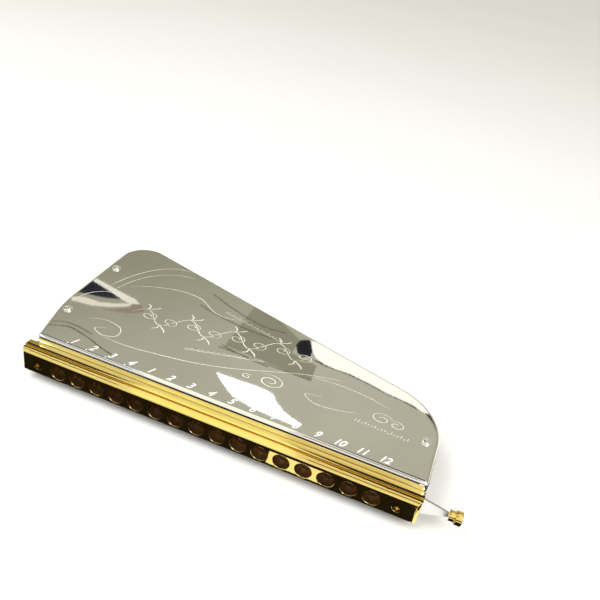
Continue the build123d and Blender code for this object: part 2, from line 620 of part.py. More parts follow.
with BuildPart() as mouthpiece:
    with BuildSketch(Plane.YZ.offset(-HALF_LENGTH)):
        with Locations(((COMB_FRONT_Y + GROOVE_Y + GROOVE_WIDTH) / 2, MID)):
            Rectangle(COMB_FRONT_Y - GROOVE_Y - GROOVE_WIDTH, 2 * TOP_Z)
        with Locations((GROOVE_Y + GROOVE_WIDTH / 2, MID)):
            Rectangle(GROOVE_WIDTH, 2 * (TOP_Z - GROOVE_DEPTH))
    extrude(amount=2 * HALF_LENGTH)
    with BuildSketch(Plane.YZ.offset(-HALF_LENGTH)) as lip:
        with Locations((MOUTH_FRONT_Y + LIP_DEPTH / 2, MID)):
            Rectangle(LIP_DEPTH, 2 * (TOP_Z - LIP_STEP))
        fillet(lip.vertices().group_by(Axis.X)[0], radius=LIP_RADIUS)
    extrude(amount=2 * HALF_LENGTH)
    # round the ends in plan
    with BuildSketch(Plane.XY) as plan:
        with Locations((0, (COMB_FRONT_Y + MOUTH_FRONT_Y) / 2)):
            Rectangle(2 * HALF_LENGTH, MOUTHPIECE_DEPTH)
        fillet(plan.vertices().group_by(Axis.Y)[0], radius=MOUTHPIECE_END_RADIUS)
    extrude(amount=HEIGHT, mode=Mode.INTERSECT)
    with BuildSketch(facing_front(WEB_FRONT_Y)):
        with Locations(*[(x, MID) for x in HOLE_X]):
            Circle(MOUTH_HOLE_DIAMETER / 2)
    extrude(amount=WEB_FRONT_Y - MOUTH_FRONT_Y, mode=Mode.SUBTRACT)
    with BuildSketch(facing_front(MOUTH_FRONT_Y)):
        with Locations(*[(x, MID) for x in HOLE_X]):
            Circle(MOUTH_HOLE_DIAMETER / 2 + HOLE_RIM_CHAMFER)
    extrude(amount=-HOLE_RIM_CHAMFER, taper=45, mode=Mode.SUBTRACT)
    with BuildSketch(facing_front(COMB_FRONT_Y)):
        with Locations((0, MID)):
            Rectangle(2 * CHANNEL_END, 2 * HOUSING_HALF)
    extrude(amount=COMB_FRONT_Y - WEB_FRONT_Y, mode=Mode.SUBTRACT)
    # the slide's neck leaves through the right-hand end
    with BuildSketch(Plane.YZ.offset(CHANNEL_END)):
        with Locations((SLIDE_MID_Y, MID)):
            Rectangle(SLIDE_SHEET + 4 * FIT_GAP, NECK_HEIGHT + 4 * FIT_GAP)
    extrude(amount=CHANNEL_END_WALL, mode=Mode.SUBTRACT)
    with BuildSketch(facing_front(WEB_FRONT_Y)):
        with Locations((-MOUTH_SCREW_X, MID), (MOUTH_SCREW_X, MID)):
            Circle(MOUTH_SCREW_RADIUS + FIT_GAP)
    extrude(amount=WEB_FRONT_Y - MOUTH_FRONT_Y, mode=Mode.SUBTRACT)
    with BuildSketch(facing_front(MOUTH_FRONT_Y)):
        with Locations((-MOUTH_SCREW_X, MID), (MOUTH_SCREW_X, MID)):
            Circle(MOUTH_SCREW_HEAD_RADIUS + FIT_GAP)
    extrude(amount=-SINK_DEPTH, taper=SINK_TAPER, mode=Mode.SUBTRACT)
finish(mouthpiece, "mouthpiece")

with BuildPart() as mouth_screws:
    with BuildSketch(facing_front(MOUTH_FRONT_Y + MOUTH_SCREW_SUNK)):
        with Locations((-MOUTH_SCREW_X, MID), (MOUTH_SCREW_X, MID)):
            Circle(MOUTH_SCREW_HEAD_RADIUS - FIT_GAP)
    extrude(amount=-MOUTH_HEAD_DEPTH, taper=MOUTH_HEAD_TAPER)
    with BuildSketch(facing_front(MOUTH_FRONT_Y + MOUTH_HEAD_DEPTH / 2)):
        with Locations((-MOUTH_SCREW_X, MID), (MOUTH_SCREW_X, MID)):
            Circle(MOUTH_SCREW_RADIUS)
    extrude(amount=-(MOUTHPIECE_DEPTH + MOUTH_SCREW_LENGTH - MOUTH_HEAD_DEPTH))
    with BuildSketch(facing_front(MOUTH_FRONT_Y)):
        with Locations((-MOUTH_SCREW_X, MID), (MOUTH_SCREW_X, MID)):
            Rectangle(2 * MOUTH_SCREW_RADIUS, RECESS_SLOT)
            Rectangle(RECESS_SLOT, 2 * MOUTH_SCREW_RADIUS)
    extrude(amount=-MOUTH_RECESS_DEPTH, mode=Mode.SUBTRACT)
finish(mouth_screws, "mouthpiece_screws")
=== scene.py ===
"""Looks of the slide chromatic harmonica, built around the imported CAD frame.

Shapes are written in millimetres and become metres when their mesh is made.
X runs along the row of holes, Y from the player to the back, Z up.
"""

import json
from math import asin, atan2, cos, pi, radians, sin, sqrt, tan, tau

import bmesh
import bpy
from mathutils import Matrix, Vector
from mathutils.geometry import tessellate_polygon


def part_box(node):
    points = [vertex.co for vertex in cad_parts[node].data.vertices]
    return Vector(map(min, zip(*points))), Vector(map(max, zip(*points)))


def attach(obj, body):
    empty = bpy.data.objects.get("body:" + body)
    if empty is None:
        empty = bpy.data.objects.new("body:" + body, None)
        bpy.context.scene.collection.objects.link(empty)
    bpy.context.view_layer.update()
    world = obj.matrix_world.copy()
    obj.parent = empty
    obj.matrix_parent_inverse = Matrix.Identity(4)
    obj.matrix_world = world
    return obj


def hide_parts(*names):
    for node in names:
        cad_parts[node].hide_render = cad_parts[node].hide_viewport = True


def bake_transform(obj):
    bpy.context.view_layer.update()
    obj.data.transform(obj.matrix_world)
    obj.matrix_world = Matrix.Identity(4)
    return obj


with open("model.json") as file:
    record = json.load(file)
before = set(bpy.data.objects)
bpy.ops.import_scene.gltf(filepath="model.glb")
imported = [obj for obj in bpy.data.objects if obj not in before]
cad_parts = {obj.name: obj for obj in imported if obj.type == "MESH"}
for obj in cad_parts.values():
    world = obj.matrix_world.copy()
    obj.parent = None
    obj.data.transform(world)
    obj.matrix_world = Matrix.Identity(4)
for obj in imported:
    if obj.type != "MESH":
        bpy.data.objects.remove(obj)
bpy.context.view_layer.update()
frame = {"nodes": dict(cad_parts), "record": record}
BODY = "harmonica_body"
SLIDER = "slide_and_button"
MM = 0.001


def span(node, axis):
    """Lowest and highest place of a CAD node along an axis, in millimetres."""
    low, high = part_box(node)
    return low[axis] / MM, high[axis] / MM


# ---- Sizes of the covers -------------------------------------------------------------
COVER_FOOT, TOP = span("top_cover", 2)
MID = TOP / 2
FOOT_RISE = COVER_FOOT - MID
COVER_RISE = TOP - COVER_FOOT
COVER_SHEET = 0.8
COVER_ROLL = 1.75            # radius of the rolled edge
ROLL_STEPS = 8
LAND = 0.1                   # flat ring beyond the roll, which keeps the top's shading flat
HOLE_COUNT = 16
HOLE_PITCH = 10.0
HALF_ROW = HOLE_PITCH * (HOLE_COUNT - 1) / 2
HOLE_X = [i * HOLE_PITCH - HALF_ROW for i in range(HOLE_COUNT)]
COVER_FRONT_Y = span("top_cover", 1)[0]
COVER_RIGHT_X = span("top_cover", 0)[1]
KNEE_Y = 22.0
REAR_Y = 68.8
REAR_SLOPE = 0.285
LEFT_FRONT_MARGIN = 16.5
LEFT_KNEE_MARGIN = 23.6
LEFT_REAR_MARGIN = 25.7
SOUND_OPENING_LENGTH = 120.0
SOUND_OPENING_X = -5.0
SCREW_HOLE_RADIUS = 1.3
NUT_HOLE_RADIUS = 1.95
RIGHT_SCREW_INSET = 6.0
LEFT_SCREW_INSET = 5.3
FRONT_SCREW_Y = 18.0
REAR_SCREW_Y = 63.0

# ---- Sizes of the mouthpiece, with Z measured from the middle plane ------------------
MOUTH_END = span("mouthpiece", 0)[1]
MOUTH_FRONT, MOUTH_BACK = span("mouthpiece", 1)
MOUTH_TOP = span("mouthpiece", 2)[1] - MID
WEB_FRONT = span("slide_housing", 1)[0]
LIP_STEP = 0.5
LIP_TOP = MOUTH_TOP - LIP_STEP
LIP_RADIUS = 2.8
LIP_DEPTH = 3.2
LIP_FLAT = LIP_TOP - LIP_RADIUS
LIP_ARC = LIP_RADIUS * pi / 2
LIP_REACH = LIP_FLAT + LIP_ARC + LIP_DEPTH - LIP_RADIUS
GROOVE_FLOOR = MOUTH_TOP - 1.0
GROOVE_WIDTH = 0.5
BAND_EDGE = 0.2              # small round along both edges of the flat band
END_RADIUS = 3.0
HOLE_RADIUS = 3.8
HOLE_RIM = 0.3
SCREW_X = MOUTH_END - 9.0
SINK_RADIUS = 2.15
SINK_FLOOR_RADIUS = 1.15
SINK_DEPTH = 1.2
CHANNEL_END = MOUTH_END - 2.0
CHANNEL_HALF = span("slide_housing", 2)[1] - MID
SLIDE_BACK, SLIDE_FRONT = reversed(span("slide", 1))
SLOT_GAP = 0.1
SLOT_HALF = 4.4
CELL_COLUMNS = 12            # divisions of each hole's cell along the row
CELL_SHARES = (1, 0.6, 0.35, 0.15, 0)   # rings of a cell, from its sides in to the hole's rim


def rear_y(x):
    """Y of the straight rear edge of the covers at x."""
    return REAR_Y - REAR_SLOPE * x


def left_x(y):
    """X of the covers' left-hand side, which has a knee."""
    knee_x = -HALF_ROW - LEFT_KNEE_MARGIN
    far_x = -HALF_ROW - (LEFT_FRONT_MARGIN if y < KNEE_Y else LEFT_REAR_MARGIN)
    far_y = COVER_FRONT_Y if y < KNEE_Y else rear_y(far_x)
    return knee_x + (far_x - knee_x) * (y - KNEE_Y) / (far_y - KNEE_Y)


# corners of the covers' plan, each with its radius and the steps of its arc
CORNERS = [
    ((-HALF_ROW - LEFT_FRONT_MARGIN, COVER_FRONT_Y), 2.0, 8),
    ((-HALF_ROW - LEFT_KNEE_MARGIN, KNEE_Y), 80.0, 8),
    ((-HALF_ROW - LEFT_REAR_MARGIN, rear_y(-HALF_ROW - LEFT_REAR_MARGIN)), 14.0, 16),
    ((COVER_RIGHT_X, rear_y(COVER_RIGHT_X)), 30.0, 20),
    ((COVER_RIGHT_X, COVER_FRONT_Y), 2.0, 8),
]
REAR_LEFT_CORNER = 2         # the sound opening lies on the side that starts here
COVER_SCREW_SPOTS = [
    (left_x(FRONT_SCREW_Y) + LEFT_SCREW_INSET, FRONT_SCREW_Y),
    (left_x(REAR_SCREW_Y) + LEFT_SCREW_INSET, REAR_SCREW_Y),
    (COVER_RIGHT_X - RIGHT_SCREW_INSET, FRONT_SCREW_Y),
]


# ---- Mesh tools ----------------------------------------------------------------------
WELD_DIGITS = 4              # points that agree to so many decimals of a millimetre are one


class Shell:
    """Points and faces of one mesh in millimetres. Points that coincide are welded.

    The faces listed in inner take the second material, and normals holds the shading
    of the points that do not take it from their faces.
    """

    def __init__(self):
        self.index = {}
        self.points = []
        self.faces = []
        self.normals = {}
        self.inner = []

    def at(self, point):
        """Index of a point, which is added if it is new."""
        key = tuple(round(c, WELD_DIGITS) for c in point)
        if key not in self.index:
            self.index[key] = len(self.points)
            self.points.append(tuple(point))
        return self.index[key]

    def face(self, *points):
        """Face through the points, left out if they weld to fewer than three."""
        corners = []
        for corner in [self.at(p) for p in points]:
            if corner not in corners:
                corners.append(corner)
        if len(corners) > 2:
            self.faces.append(corners)

    def strip(self, row, other, closed=False):
        """Quads between two rows with the same number of points."""
        count = len(row)
        for i in range(count if closed else count - 1):
            j = (i + 1) % count
            self.face(row[i], row[j], other[j], other[i])

    def fill(self, *loops):
        """Flat face inside the first loop, with the other loops as holes."""
        loops = [[Vector(p) for p in loop] for loop in loops]
        flat = [p for loop in loops for p in loop]
        for triangle in tessellate_polygon(loops):
            self.face(*[flat[i] for i in triangle])

    def lean(self, point, normal):
        """Shade a point with this normal on the faces that turn much the same way."""
        self.normals[self.at(point)] = Vector(normal).normalized()

    def shade(self, mesh):
        """Use the given normals on the corners of the faces that turn much the same way."""
        close = 0.7              # cosine of the widest turn between the two
        corners = [Vector((0, 0, 0))] * len(mesh.loops)
        for face in mesh.polygons:
            for loop in face.loop_indices:
                normal = self.normals.get(mesh.loops[loop].vertex_index)
                if normal and normal.dot(face.normal) > close:
                    corners[loop] = normal
        mesh.normals_split_custom_set(corners)

    def build(self, name, sharp=40, smooth=True):
        """Blender object of the shell, with its normals facing out."""
        mesh = bpy.data.meshes.new(name)
        mesh.from_pydata([Vector(p) * MM for p in self.points], [], self.faces)
        work = bmesh.new()
        work.from_mesh(mesh)
        bmesh.ops.recalc_face_normals(work, faces=work.faces)
        work.to_mesh(mesh)
        work.free()
        if smooth:
            mesh.shade_smooth()
            mesh.set_sharp_from_angle(angle=radians(sharp))
        if self.normals:
            self.shade(mesh)
        for i in self.inner:
            mesh.polygons[i].material_index = 1
        obj = bpy.data.objects.new(name, mesh)
        bpy.context.scene.collection.objects.link(obj)
        return obj


def circle(centre, radius, z, steps=32):
    """Ring of points about centre in a level plane."""
    turns = [tau * i / steps for i in range(steps)]
    return [(centre[0] + radius * cos(a), centre[1] + radius * sin(a), z) for a in turns]


def finished(obj, material, slot, body, *replaced):
    """Give a piece its material and its body, and hide the CAD nodes that it stands for."""
    obj.data.materials.append(material)
    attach(obj, body)
    if replaced:
        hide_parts(*replaced)
    return obj


# ---- Materials -----------------------------------------------------------------------
def color_ramp(nodes, links, value, stops):
    """Colour that runs through the stops, each (place, colour), as value goes from 0 to 1."""
    ramp = nodes.new("ShaderNodeValToRGB")
    elements = ramp.color_ramp.elements
    while len(elements) < len(stops):
        elements.new(0.5)
    for element, (place, color) in zip(elements, stops):
        element.position = place
        element.color = (*color, 1)
    links.new(value, ramp.inputs["Fac"])
    return ramp.outputs["Color"]


class Paint:
    """A procedural material: its Principled shader, with helpers that add nodes to it."""

    def __init__(self, name, metallic=0.0, scale=(1, 1, 1)):
        self.material = bpy.data.materials.new(name)
        self.material.use_nodes = True
        self.nodes = self.material.node_tree.nodes
        self.links = self.material.node_tree.links
        self.shader = self.nodes["Principled BSDF"]
        self.shader.inputs["Metallic"].default_value = metallic
        place = self.nodes.new("ShaderNodeTexCoord")
        self.mapping = self.nodes.new("ShaderNodeMapping")
        self.mapping.inputs["Scale"].default_value = scale
        self.links.new(place.outputs["Object"], self.mapping.inputs["Vector"])

    def noise(self, scale, detail=3.0, stretch=None):
        """Noise pattern, as many cells per metre as scale says, stretched if asked."""
        pattern = self.nodes.new("ShaderNodeTexNoise")
        pattern.inputs["Scale"].default_value = scale
        pattern.inputs["Detail"].default_value = detail
        source = self.mapping
        if stretch:
            source = self.nodes.new("ShaderNodeMapping")
            source.inputs["Scale"].default_value = stretch
            self.links.new(self.mapping.outputs["Vector"], source.inputs["Vector"])
        self.links.new(source.outputs["Vector"], pattern.inputs["Vector"])
        return pattern.outputs["Fac"]

    def ramp(self, value, stops, socket):
        """Colour or grey of a socket along a pattern. Stops are (place, colour)."""
        self.links.new(color_ramp(self.nodes, self.links, value, stops), self.shader.inputs[socket])

    def levels(self, value, low, high, socket):
        """Plain number on a socket that runs from low to high along a pattern."""
        fit = self.nodes.new("ShaderNodeMapRange")
        fit.inputs["From Min"].default_value = 0.3
        fit.inputs["From Max"].default_value = 0.7
        fit.inputs["To Min"].default_value = low
        fit.inputs["To Max"].default_value = high
        self.links.new(value, fit.inputs["Value"])
        self.links.new(fit.outputs["Result"], self.shader.inputs[socket])

    def bump(self, *layers):
        """Bumps, each (pattern, depth in metres), one on top of the other."""
        previous = None
        for pattern, depth in layers:
            bump = self.nodes.new("ShaderNodeBump")
            bump.inputs["Strength"].default_value = 1.0
            bump.inputs["Distance"].default_value = depth
            self.links.new(pattern, bump.inputs["Height"])
            if previous:
                self.links.new(previous.outputs["Normal"], bump.inputs["Normal"])
            previous = bump
        self.links.new(previous.outputs["Normal"], self.shader.inputs["Normal"])


def metal(name, dark, light, rough, waves, scratches, stretch=(1, 1, 1)):
    """Metal whose colour and polish vary a little, with slow waves and fine scratches."""
    paint = Paint(name, metallic=1.0)
    paint.ramp(paint.noise(35, 4), [(0.3, dark), (0.7, light)], "Base Color")
    paint.levels(paint.noise(900, 5, stretch), rough[0], rough[1], "Roughness")
    paint.bump((paint.noise(28, 2), waves), (paint.noise(2400, 4, stretch), scratches))
    return paint.material


def moulded(name, dark, light, rough, grain, depth):
    """Moulded plastic, rubber or film with a fine grain."""
    paint = Paint(name)
    paint.ramp(paint.noise(60, 4), [(0.3, dark), (0.7, light)], "Base Color")
    paint.levels(paint.noise(400, 4), rough[0], rough[1], "Roughness")
    paint.bump((paint.noise(grain, 3), depth))
    return paint.material


def valve_film():
    """Thin translucent film."""
    material = moulded("valve_film", (0.74, 0.74, 0.7), (0.88, 0.88, 0.84), (0.25, 0.4), 900, 2e-6)
    shader = material.node_tree.nodes["Principled BSDF"]
    shader.inputs["Transmission Weight"].default_value = 0.35
    return material


ALONG = (0.04, 1, 1)         # stretches a pattern along X
# each metal's dark and light colour, range of roughness, depth of its waves and of its
# scratches, and how the scratches are stretched where they have a direction
METALS = {
    "cover_chrome": ((0.84, 0.835, 0.81), (0.9, 0.895, 0.875), (0.012, 0.035), 6e-6, 3e-8),
    "gold_plate": ((0.90, 0.69, 0.19), (0.97, 0.77, 0.26), (0.05, 0.11), 1e-6, 6e-8, ALONG),
    "steel": ((0.62, 0.62, 0.63), (0.78, 0.78, 0.78), (0.16, 0.3), 1e-6, 5e-7, ALONG),
    "screw_steel": ((0.84, 0.84, 0.81), (0.93, 0.93, 0.9), (0.05, 0.13), 1e-6, 2e-7),
    "plate_brass": ((0.66, 0.47, 0.2), (0.84, 0.63, 0.31), (0.2, 0.38), 1e-6, 8e-7, ALONG),
    "reed_brass": ((0.78, 0.52, 0.26), (0.92, 0.68, 0.38), (0.18, 0.34), 1e-6, 6e-7),
}
# each plastic's or rubber's dark and light colour, range of roughness, grain and its depth
MOULDINGS = {
    "comb_plastic": ((0.014, 0.014, 0.015), (0.03, 0.03, 0.031), (0.3, 0.5), 1500, 2e-5),
    "bumper_rubber": ((0.02, 0.02, 0.02), (0.045, 0.045, 0.045), (0.6, 0.8), 1800, 1e-5),
}
MATERIALS = {slot: metal(slot, *look) for slot, look in METALS.items()}
MATERIALS |= {slot: moulded(slot, *look) for slot, look in MOULDINGS.items()}
MATERIALS["valve_film"] = valve_film()
FROST = moulded("frosted_engraving", (0.80, 0.80, 0.77), (0.92, 0.92, 0.89), (0.35, 0.55), 3000, 4e-6)
# dark brown gold for the hole bores and the channel floor: painted shade inside the recesses
SHADED_BORE = metal("bore_gold_painted_shade", (0.34, 0.19, 0.08), (0.42, 0.25, 0.11), (0.28, 0.42), 1e-6, 2e-7)
# dark brown sheet for the slide housing: painted shade deep between the covers
SHADED_HOUSING = metal("housing_sheet_painted_shade", (0.17, 0.11, 0.06), (0.23, 0.155, 0.085), (0.35, 0.5), 1e-6, 3e-7)
LINE = moulded("engraved_line", (0.62, 0.61, 0.54), (0.80, 0.79, 0.72), (0.2, 0.4), 3000, 2e-6)


# ---- Covers --------------------------------------------------------------------------
def plan_ring(inset):
    """Plan of the covers moved inward, with the same number of points at every inset."""
    count = len(CORNERS)
    places = [Vector(corner) for corner, radius, steps in CORNERS]
    ring = []
    for i, (corner, radius, steps) in enumerate(CORNERS):
        back = (places[i - 1] - places[i]).normalized()
        ahead = (places[(i + 1) % count] - places[i]).normalized()
        half = back.angle(ahead) / 2
        middle = (back + ahead).normalized()
        inner = places[i] + middle * inset / sin(half)
        radius = max(radius - inset, 0.05)
        centre = inner + middle * radius / sin(half)
        start = inner + back * radius / tan(half) - centre
        turn = back.angle(ahead) - pi
        for step in range(steps + 1):
            ring.append(centre + Matrix.Rotation(turn * step / steps, 2) @ start)
        if i == REAR_LEFT_CORNER:
            inward = Vector((ahead.y, -ahead.x)) * inset
            middle_rear = Vector((SOUND_OPENING_X, rear_y(SOUND_OPENING_X)))
            for reach in (-SOUND_OPENING_LENGTH / 2, SOUND_OPENING_LENGTH / 2):
                ring.append(middle_rear + ahead * reach + inward)
    return ring


OPEN_SIDE = sum(steps + 1 for corner, radius, steps in CORNERS[: REAR_LEFT_CORNER + 1])


def cover(name, side, hole_radius):
    """Sheet-metal cover with rolled edges, screw holes and a sound opening in its rear wall."""
    shell = Shell()
    wall = COVER_RISE - COVER_ROLL

    def rings(depth):
        """Rings of one face of the sheet, from its foot to its flat land."""
        roll = COVER_ROLL - depth
        turns = [pi / 2 * i / ROLL_STEPS for i in range(ROLL_STEPS + 1)]
        rows = [(depth, 0)]
        rows += [(COVER_ROLL - roll * cos(a), wall + roll * sin(a)) for a in turns]
        rows += [(COVER_ROLL + LAND, COVER_RISE - depth)]
        return [[(*p, MID + side * (FOOT_RISE + rise)) for p in plan_ring(inset)] for inset, rise in rows]

    outer = rings(0)
    inner = rings(COVER_SHEET)
    count = len(outer[0])
    for rows in (outer, inner):
        for level, (low, high) in enumerate(zip(rows, rows[1:])):
            for i in range(count):
                if level or i != OPEN_SIDE:
                    j = (i + 1) % count
                    shell.face(low[i], low[j], high[j], high[i])
    for i in range(count):
        level = 1 if i == OPEN_SIDE else 0   # the opening reaches up to the roll
        j = (i + 1) % count
        shell.face(outer[level][i], outer[level][j], inner[level][j], inner[level][i])
    for i in (OPEN_SIDE, OPEN_SIDE + 1):
        shell.face(outer[0][i], outer[1][i], inner[1][i], inner[0][i])
    holes = []
    for rows in (outer, inner):
        z = rows[-1][0][2]
        holes.append([circle(spot, hole_radius, z) for spot in COVER_SCREW_SPOTS])
        shell.fill(rows[-1], *holes[-1])
    for upper, lower in zip(*holes):
        shell.strip(upper, lower, closed=True)
    obj = shell.build(name)
    finished(obj, MATERIALS["cover_chrome"], "cover_chrome", BODY, name)


# ---- Mouthpiece ----------------------------------------------------------------------
def lip_point(s):
    """Y and Z of the lip at s, measured along its surface from the middle plane."""
    away = abs(s)
    if away <= LIP_FLAT:
        return MOUTH_FRONT, s
    turn = min((away - LIP_FLAT) / LIP_RADIUS, pi / 2)
    beyond = max(away - LIP_FLAT - LIP_ARC, 0)
    y = MOUTH_FRONT + LIP_RADIUS * (1 - cos(turn)) + beyond
    z = LIP_FLAT + LIP_RADIUS * sin(turn)
    return y, z if s > 0 else -z


def lip_normal(s):
    """Normal of the lip's surface at s."""
    turn = min(max((abs(s) - LIP_FLAT) / LIP_RADIUS, 0), pi / 2)
    return Vector((0, -cos(turn), sin(turn) if s > 0 else -sin(turn)))


def lip_reach(z):
    """Distance along the lip's surface at which it is z from the middle plane."""
    if abs(z) <= LIP_FLAT:
        return z
    reach = LIP_FLAT + LIP_RADIUS * asin((abs(z) - LIP_FLAT) / LIP_RADIUS)
    return reach if z > 0 else -reach


def end_x(y):
    """X of the mouthpiece's end at y, where its front corner is rounded in plan."""
    short = MOUTH_FRONT + END_RADIUS - y
    if short <= 0:
        return MOUTH_END
    return MOUTH_END - END_RADIUS + sqrt(max(END_RADIUS**2 - short**2, 0))


FLAT_STEPS = 4
ARC_STEPS = 10
UPPER_ROWS = [LIP_FLAT * i / FLAT_STEPS for i in range(1, FLAT_STEPS + 1)]
UPPER_ROWS += [LIP_FLAT + LIP_ARC * i / ARC_STEPS for i in range(1, ARC_STEPS + 1)]
UPPER_ROWS += [LIP_REACH]
LIP_ROWS = [-s for s in reversed(UPPER_ROWS)] + [0.0] + UPPER_ROWS
RIM_STEPS = 6
RIM_TURNS = [pi / 2 * i / RIM_STEPS for i in range(RIM_STEPS + 1)]


def cell(shell, x, left, right, radius, bore):
    """Part of the lip round one hole: surface, rounded rim and bore. Returns its last ring.

    left and right give the cell's sides in X at s. bore lists (radius, Y) behind the rim.
    """
    rim = radius + HOLE_RIM
    top, bottom = LIP_ROWS[-1], LIP_ROWS[0]
    shares = [i / CELL_COLUMNS for i in range(CELL_COLUMNS)]
    edge = [(right(s), s) for s in LIP_ROWS[:-1]]
    edge += [(right(top) + (left(top) - right(top)) * t, top) for t in shares]
    edge += [(left(s), s) for s in reversed(LIP_ROWS[1:])]
    edge += [(left(bottom) + (right(bottom) - left(bottom)) * t, bottom) for t in shares]
    turns = [atan2(s, ex - x) for ex, s in edge]
    rows = []
    for share in CELL_SHARES:
        row = []
        for turn, (ex, s) in zip(turns, edge):
            near_x = x + rim * cos(turn)
            near_s = lip_reach(rim * sin(turn))
            reach = near_s + (s - near_s) * share
            y, z = lip_point(reach)
            row.append((near_x + (ex - near_x) * share, y, MID + z))
            shell.lean(row[-1], lip_normal(reach))
        rows.append(row)
    for a in RIM_TURNS[1:]:
        r = rim - HOLE_RIM * sin(a)
        back = HOLE_RIM * (1 - cos(a))
        row = []
        for turn in turns:
            reach = lip_reach(rim * sin(turn))
            row.append((x + r * cos(turn), lip_point(reach)[0] + back, MID + r * sin(turn)))
            inward = Vector((-cos(turn), 0, -sin(turn)))
            shell.lean(row[-1], lip_normal(reach) * cos(a) + inward * sin(a))
        rows.append(row)
    for r, y in bore:
        rows.append([(x + r * cos(turn), y, MID + r * sin(turn)) for turn in turns])
    surface = len(rows) - len(bore)
    for row, other in zip(rows[:surface], rows[1:surface]):
        shell.strip(row, other, closed=True)
    # the bore's faces take the second material, darkened with painted shade
    first = len(shell.faces)
    for row, other in zip(rows[surface - 1 :], rows[surface:]):
        shell.strip(row, other, closed=True)
    shell.inner += range(first, len(shell.faces))
    return rows[-1]


def across(y):
    """X of every column of the mesh at y, from the left-hand end to the right-hand one."""
    sides = [-end_x(y)] + [x - HOLE_PITCH / 2 for x in HOLE_X] + [HALF_ROW + HOLE_PITCH / 2, end_x(y)]
    columns = []
    for low, high in zip(sides, sides[1:]):
        columns += [low + (high - low) * i / CELL_COLUMNS for i in range(CELL_COLUMNS)]
    return columns + [sides[-1]]


# groove, flat band and back edge as (Y, Z) behind the lip, then the slot that the lever leaves by
LIP_BACK = MOUTH_FRONT + LIP_DEPTH
BAND_FRONT = LIP_BACK + GROOVE_WIDTH
BAND_SOFT = BAND_EDGE * (1 - sqrt(0.5))
BAND_ROWS = [
    (LIP_BACK, LIP_TOP),
    (LIP_BACK, GROOVE_FLOOR),
    (BAND_FRONT, GROOVE_FLOOR),
    (BAND_FRONT, MOUTH_TOP - BAND_EDGE),
    (BAND_FRONT + BAND_SOFT, MOUTH_TOP - BAND_SOFT),
    (BAND_FRONT + BAND_EDGE, MOUTH_TOP),
    (MOUTH_BACK - BAND_EDGE, MOUTH_TOP),
    (MOUTH_BACK - BAND_SOFT, MOUTH_TOP - BAND_SOFT),
    (MOUTH_BACK, MOUTH_TOP - BAND_EDGE),
]
SLOT = [
    (SLIDE_FRONT - SLOT_GAP, -SLOT_HALF),
    (SLIDE_BACK + SLOT_GAP, -SLOT_HALF),
    (SLIDE_BACK + SLOT_GAP, SLOT_HALF),
    (SLIDE_FRONT - SLOT_GAP, SLOT_HALF),
]


def lip(shell):
    """Lip in cells round its holes and its two screws. Returns the last ring of each."""
    side = HOLE_PITCH / 2
    row_end = HALF_ROW + side
    bore = [(HOLE_RADIUS, WEB_FRONT)]
    openings = []
    for x in HOLE_X:
        openings.append(cell(shell, x, lambda s: x - side, lambda s: x + side, HOLE_RADIUS, bore))
    sink = [(SINK_FLOOR_RADIUS, MOUTH_FRONT + SINK_DEPTH), (SINK_FLOOR_RADIUS, WEB_FRONT)]

    def far_end(s):
        """X of the right-hand end of the lip at s."""
        return end_x(lip_point(s)[0])

    openings.append(cell(shell, -SCREW_X, lambda s: -far_end(s), lambda s: -row_end, SINK_RADIUS, sink))
    openings.append(cell(shell, SCREW_X, lambda s: row_end, far_end, SINK_RADIUS, sink))
    return openings


def band(shell):
    """Groove and flat band behind the lip, above and below."""
    for side in (1, -1):
        lines = [[(x, y, MID + side * z) for x in across(y)] for y, z in BAND_ROWS]
        for row, other in zip(lines, lines[1:]):
            shell.strip(row, other)


def mouthpiece_ends(shell):
    """Both ends: columns round the plan corner, then one flat face each."""
    corner_rows = [lip_point(s) for s in UPPER_ROWS[FLAT_STEPS - 1 : -1]]
    for side in (-1, 1):
        front_points = [lip_point(s) for s in LIP_ROWS if abs(s) <= LIP_FLAT]
        edge = [(side * end_x(y), y, MID + z) for y, z in front_points]
        next_y, next_z = corner_rows[1]
        far = [(side * end_x(next_y), next_y, MID + z) for z in (next_z, -next_z)]
        shell.face(*edge, *far)
        for (y, z), (next_y, next_z) in zip(corner_rows[1:], corner_rows[2:]):
            x, next_x = side * end_x(y), side * end_x(next_y)
            upper = ((x, y, MID + z), (next_x, next_y, MID + next_z))
            lower = ((next_x, next_y, MID - next_z), (x, y, MID - z))
            shell.face(*upper, *lower)
        flat = [corner_rows[-1]] + BAND_ROWS
        loop = [(side * end_x(y), y, MID + z) for y, z in flat]
        loop += [(side * end_x(y), y, MID - z) for y, z in reversed(flat)]
        holes = [[(side * MOUTH_END, y, MID + z) for y, z in SLOT]] if side > 0 else []
        shell.fill(loop, *holes)


def channel(y):
    """Outline of the slide channel at depth y."""
    corners = ((-1, -1), (1, -1), (1, 1), (-1, 1))
    return [(i * CHANNEL_END, y, MID + j * CHANNEL_HALF) for i, j in corners]


def mouthpiece_back(shell, openings):
    """Back face, slide channel with the openings in its floor, and the lever's slot."""
    back_z = MOUTH_TOP - BAND_EDGE
    outer = [(x, MOUTH_BACK, MID + back_z) for x in across(MOUTH_BACK)]
    outer += [(x, MOUTH_BACK, MID - back_z) for x in reversed(across(MOUTH_BACK))]
    mouth, floor = channel(MOUTH_BACK), channel(WEB_FRONT)
    shell.fill(outer, mouth)
    # the channel floor takes the second material, darkened with painted shade
    first = len(shell.faces)
    shell.fill(floor, *openings)
    shell.inner += range(first, len(shell.faces))
    for i in (0, 2, 3):
        j = (i + 1) % 4
        shell.face(mouth[i], mouth[j], floor[j], floor[i])
    inside = [(CHANNEL_END, y, MID + z) for y, z in SLOT]
    shell.fill([mouth[1], mouth[2], floor[2], floor[1]], inside)
    shell.strip(inside, [(MOUTH_END, y, MID + z) for y, z in SLOT], closed=True)


